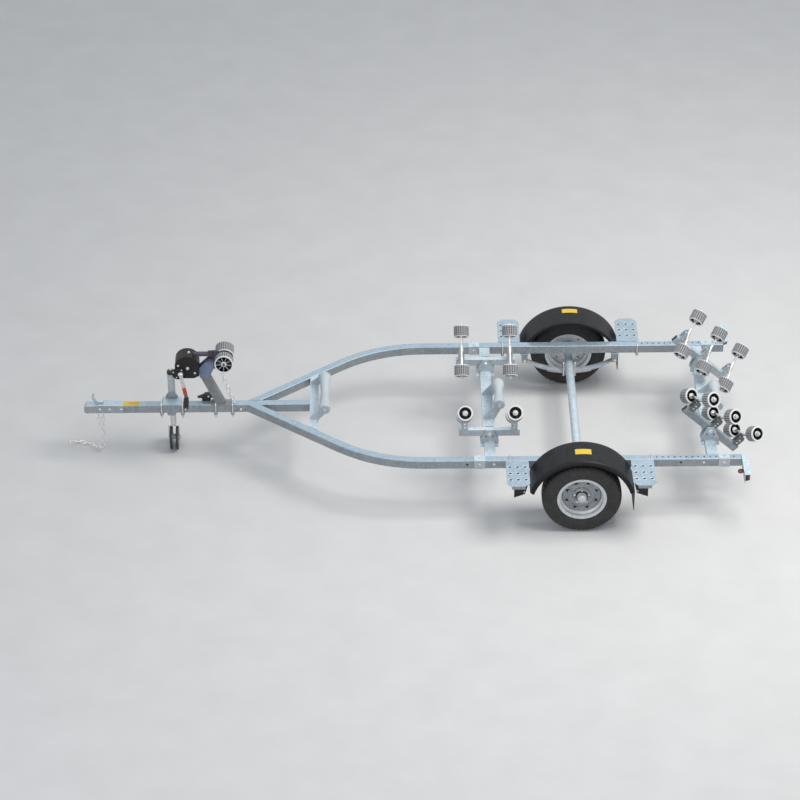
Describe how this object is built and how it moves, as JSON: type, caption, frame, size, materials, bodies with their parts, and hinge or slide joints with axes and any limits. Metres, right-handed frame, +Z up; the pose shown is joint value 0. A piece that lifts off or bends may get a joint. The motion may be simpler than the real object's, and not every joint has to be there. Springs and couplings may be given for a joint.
{
  "type": "boat trailer",
  "caption": "Galvanised boat trailer with tilting cradles of hollow ribbed rollers, waisted keel rollers, bow winch, jockey wheel and black mudguards.",
  "frame": {"origin": "centre of the whole trailer's footprint box, on the ground under it", "axes": "+X forward to the coupler, +Y to the trailer's left, +Z up"},
  "size_m": [5.2398, 2.136, 0.9808],
  "materials": {
    "galvanised_steel": "satin",
    "zinc_steel": "satin",
    "chain_steel": "satin",
    "cast_zinc": "satin",
    "spring_steel": "matte",
    "tyre": "matte",
    "black_rubber": "matte",
    "roller_plastic": "matte",
    "black_plastic": "satin",
    "black_steel": "satin",
    "lamp_red": "gloss"
  },
  "bodies": {
    "frame": {"rails": "galvanised_steel", "drawbar": "galvanised_steel", "crossmembers": "galvanised_steel", "rail_saddles": "galvanised_steel", "cradle_pivots": "galvanised_steel", "keel_brackets": "galvanised_steel", "axle": "galvanised_steel", "leaf_springs": "spring_steel", "spring_hangers": "galvanised_steel", "mudguards": "black_plastic", "mud_flaps": "black_rubber", "steps": "galvanised_steel", "lamp_plates": "galvanised_steel", "tail_lamps": "lamp_red", "coupler": "cast_zinc", "coupler_latch": "cast_zinc", "winch_post": "galvanised_steel", "bow_bracket": "galvanised_steel", "winch_housing": "black_steel", "jack_clamp": "galvanised_steel", "safety_chain": "chain_steel", "bow_chain": "chain_steel", "plug_holder": "black_plastic"},
    "wheel_left": {"tyre_left": "tyre", "rim_left": "galvanised_steel"},
    "wheel_right": {"tyre_right": "tyre", "rim_right": "galvanised_steel"},
    "cradle_front_left": {"cradle_front_left": "galvanised_steel"},
    "roller_front_left_1": {"roller_front_left_1": "roller_plastic"},
    "roller_front_left_2": {"roller_front_left_2": "roller_plastic"},
    "roller_front_left_3": {"roller_front_left_3": "roller_plastic"},
    "roller_front_left_4": {"roller_front_left_4": "roller_plastic"},
    "cradle_front_right": {"cradle_front_right": "galvanised_steel"},
    "roller_front_right_1": {"roller_front_right_1": "roller_plastic"},
    "roller_front_right_2": {"roller_front_right_2": "roller_plastic"},
    "roller_front_right_3": {"roller_front_right_3": "roller_plastic"},
    "roller_front_right_4": {"roller_front_right_4": "roller_plastic"},
    "cradle_rear_left": {"cradle_rear_left": "galvanised_steel"},
    "roller_rear_left_1": {"roller_rear_left_1": "roller_plastic"},
    "roller_rear_left_2": {"roller_rear_left_2": "roller_plastic"},
    "roller_rear_left_3": {"roller_rear_left_3": "roller_plastic"},
    "roller_rear_left_4": {"roller_rear_left_4": "roller_plastic"},
    "roller_rear_left_5": {"roller_rear_left_5": "roller_plastic"},
    "roller_rear_left_6": {"roller_rear_left_6": "roller_plastic"},
    "cradle_rear_right": {"cradle_rear_right": "galvanised_steel"},
    "roller_rear_right_1": {"roller_rear_right_1": "roller_plastic"},
    "roller_rear_right_2": {"roller_rear_right_2": "roller_plastic"},
    "roller_rear_right_3": {"roller_rear_right_3": "roller_plastic"},
    "roller_rear_right_4": {"roller_rear_right_4": "roller_plastic"},
    "roller_rear_right_5": {"roller_rear_right_5": "roller_plastic"},
    "roller_rear_right_6": {"roller_rear_right_6": "roller_plastic"},
    "keel_roller_front": {"keel_roller_front": "roller_plastic"},
    "keel_roller_middle": {"keel_roller_middle": "roller_plastic"},
    "keel_roller_rear": {"keel_roller_rear": "roller_plastic"},
    "bow_roller_left": {"bow_roller_left": "roller_plastic"},
    "bow_roller_right": {"bow_roller_right": "roller_plastic"},
    "winch_crank": {"winch_crank": "black_steel"},
    "jack_leg": {"jack_leg": "zinc_steel"},
    "jack_fork": {"jack_fork": "zinc_steel"},
    "jockey_wheels": {"jockey_wheels": "black_rubber"}
  },
  "joints": [
    {"name": "wheel_left_spin", "type": "hinge", "parent": "frame", "child": "wheel_left", "pos_m": [-1.25, 0.925, 0.295], "axis": [0, 1, 0], "continuous": true},
    {"name": "wheel_right_spin", "type": "hinge", "parent": "frame", "child": "wheel_right", "pos_m": [-1.25, -0.925, 0.295], "axis": [0, 1, 0], "continuous": true},
    {"name": "cradle_front_left_tilt", "type": "hinge", "parent": "frame", "child": "cradle_front_left", "pos_m": [-0.585, 0.45, 0.522], "axis": [0, 1, 0], "range_deg": [-20, 20]},
    {"name": "roller_front_left_1_spin", "type": "hinge", "parent": "cradle_front_left", "child": "roller_front_left_1", "pos_m": [-0.4, 0.531, 0.744], "axis": [0, 0.7071, 0.7071], "continuous": true},
    {"name": "roller_front_left_2_spin", "type": "hinge", "parent": "cradle_front_left", "child": "roller_front_left_2", "pos_m": [-0.4, 0.287, 0.548], "axis": [0, 0.7071, 0.7071], "continuous": true},
    {"name": "roller_front_left_3_spin", "type": "hinge", "parent": "cradle_front_left", "child": "roller_front_left_3", "pos_m": [-0.77, 0.531, 0.744], "axis": [0, 0.7071, 0.7071], "continuous": true},
    {"name": "roller_front_left_4_spin", "type": "hinge", "parent": "cradle_front_left", "child": "roller_front_left_4", "pos_m": [-0.77, 0.287, 0.548], "axis": [0, 0.7071, 0.7071], "continuous": true},
    {"name": "cradle_front_right_tilt", "type": "hinge", "parent": "frame", "child": "cradle_front_right", "pos_m": [-0.585, -0.45, 0.522], "axis": [0, 1, 0], "range_deg": [-20, 20]},
    {"name": "roller_front_right_1_spin", "type": "hinge", "parent": "cradle_front_right", "child": "roller_front_right_1", "pos_m": [-0.4, -0.531, 0.744], "axis": [0, -0.7071, 0.7071], "continuous": true},
    {"name": "roller_front_right_2_spin", "type": "hinge", "parent": "cradle_front_right", "child": "roller_front_right_2", "pos_m": [-0.4, -0.287, 0.548], "axis": [0, -0.7071, 0.7071], "continuous": true},
    {"name": "roller_front_right_3_spin", "type": "hinge", "parent": "cradle_front_right", "child": "roller_front_right_3", "pos_m": [-0.77, -0.531, 0.744], "axis": [0, -0.7071, 0.7071], "continuous": true},
    {"name": "roller_front_right_4_spin", "type": "hinge", "parent": "cradle_front_right", "child": "roller_front_right_4", "pos_m": [-0.77, -0.287, 0.548], "axis": [0, -0.7071, 0.7071], "continuous": true},
    {"name": "cradle_rear_left_tilt", "type": "hinge", "parent": "frame", "child": "cradle_rear_left", "pos_m": [-2.22881, 0.45, 0.534], "axis": [0, 1, 0], "range_deg": [0, 63]},
    {"name": "roller_rear_left_1_spin", "type": "hinge", "parent": "cradle_rear_left", "child": "roller_rear_left_1", "pos_m": [-2.20907, 0.531, 0.85595], "axis": [-0.4822, 0.7071, 0.5171], "continuous": true},
    {"name": "roller_rear_left_2_spin", "type": "hinge", "parent": "cradle_rear_left", "child": "roller_rear_left_2", "pos_m": [-2.0754, 0.287, 0.7126], "axis": [-0.4822, 0.7071, 0.5171], "continuous": true},
    {"name": "roller_rear_left_3_spin", "type": "hinge", "parent": "cradle_rear_left", "child": "roller_rear_left_3", "pos_m": [-2.38021, 0.531, 0.69636], "axis": [-0.4822, 0.7071, 0.5171], "continuous": true},
    {"name": "roller_rear_left_4_spin", "type": "hinge", "parent": "cradle_rear_left", "child": "roller_rear_left_4", "pos_m": [-2.24654, 0.287, 0.55302], "axis": [-0.4822, 0.7071, 0.5171], "continuous": true},
    {"name": "roller_rear_left_5_spin", "type": "hinge", "parent": "cradle_rear_left", "child": "roller_rear_left_5", "pos_m": [-2.55135, 0.531, 0.53677], "axis": [-0.4822, 0.7071, 0.5171], "continuous": true},
    {"name": "roller_rear_left_6_spin", "type": "hinge", "parent": "cradle_rear_left", "child": "roller_rear_left_6", "pos_m": [-2.41768, 0.287, 0.39343], "axis": [-0.4822, 0.7071, 0.5171], "continuous": true},
    {"name": "cradle_rear_right_tilt", "type": "hinge", "parent": "frame", "child": "cradle_rear_right", "pos_m": [-2.22881, -0.45, 0.534], "axis": [0, 1, 0], "range_deg": [0, 63]},
    {"name": "roller_rear_right_1_spin", "type": "hinge", "parent": "cradle_rear_right", "child": "roller_rear_right_1", "pos_m": [-2.20907, -0.531, 0.85595], "axis": [-0.4822, -0.7071, 0.5171], "continuous": true},
    {"name": "roller_rear_right_2_spin", "type": "hinge", "parent": "cradle_rear_right", "child": "roller_rear_right_2", "pos_m": [-2.0754, -0.287, 0.7126], "axis": [-0.4822, -0.7071, 0.5171], "continuous": true},
    {"name": "roller_rear_right_3_spin", "type": "hinge", "parent": "cradle_rear_right", "child": "roller_rear_right_3", "pos_m": [-2.38021, -0.531, 0.69636], "axis": [-0.4822, -0.7071, 0.5171], "continuous": true},
    {"name": "roller_rear_right_4_spin", "type": "hinge", "parent": "cradle_rear_right", "child": "roller_rear_right_4", "pos_m": [-2.24654, -0.287, 0.55302], "axis": [-0.4822, -0.7071, 0.5171], "continuous": true},
    {"name": "roller_rear_right_5_spin", "type": "hinge", "parent": "cradle_rear_right", "child": "roller_rear_right_5", "pos_m": [-2.55135, -0.531, 0.53677], "axis": [-0.4822, -0.7071, 0.5171], "continuous": true},
    {"name": "roller_rear_right_6_spin", "type": "hinge", "parent": "cradle_rear_right", "child": "roller_rear_right_6", "pos_m": [-2.41768, -0.287, 0.39343], "axis": [-0.4822, -0.7071, 0.5171], "continuous": true},
    {"name": "keel_roller_front_spin", "type": "hinge", "parent": "frame", "child": "keel_roller_front", "pos_m": [0.644, 0, 0.563], "axis": [0, 1, 0], "continuous": true},
    {"name": "keel_roller_middle_spin", "type": "hinge", "parent": "frame", "child": "keel_roller_middle", "pos_m": [-0.669, 0, 0.54], "axis": [0, 1, 0], "continuous": true},
    {"name": "keel_roller_rear_spin", "type": "hinge", "parent": "frame", "child": "keel_roller_rear", "pos_m": [-2.31281, 0, 0.505], "axis": [0, 1, 0], "continuous": true},
    {"name": "bow_roller_left_spin", "type": "hinge", "parent": "frame", "child": "bow_roller_left", "pos_m": [1.39, 0.07, 0.904], "axis": [0, 0.9781, 0.2079], "continuous": true},
    {"name": "bow_roller_right_spin", "type": "hinge", "parent": "frame", "child": "bow_roller_right", "pos_m": [1.39, -0.07, 0.904], "axis": [0, -0.9781, 0.2079], "continuous": true},
    {"name": "winch_crank_turn", "type": "hinge", "parent": "frame", "child": "winch_crank", "pos_m": [1.718, 0.1, 0.812], "axis": [0, 1, 0], "continuous": true},
    {"name": "jack_leg_slide", "type": "slide", "parent": "frame", "child": "jack_leg", "axis": [0, 0, 1], "range_m": [-0.1, 0.11]},
    {"name": "jack_fork_swivel", "type": "hinge", "parent": "jack_leg", "child": "jack_fork", "pos_m": [1.805, -0.082, 0.222], "axis": [0, 0, 1], "continuous": true},
    {"name": "jockey_wheels_spin", "type": "hinge", "parent": "jack_fork", "child": "jockey_wheels", "pos_m": [1.805, -0.082, 0.103], "axis": [1, 0, 0], "continuous": true}
  ]
}
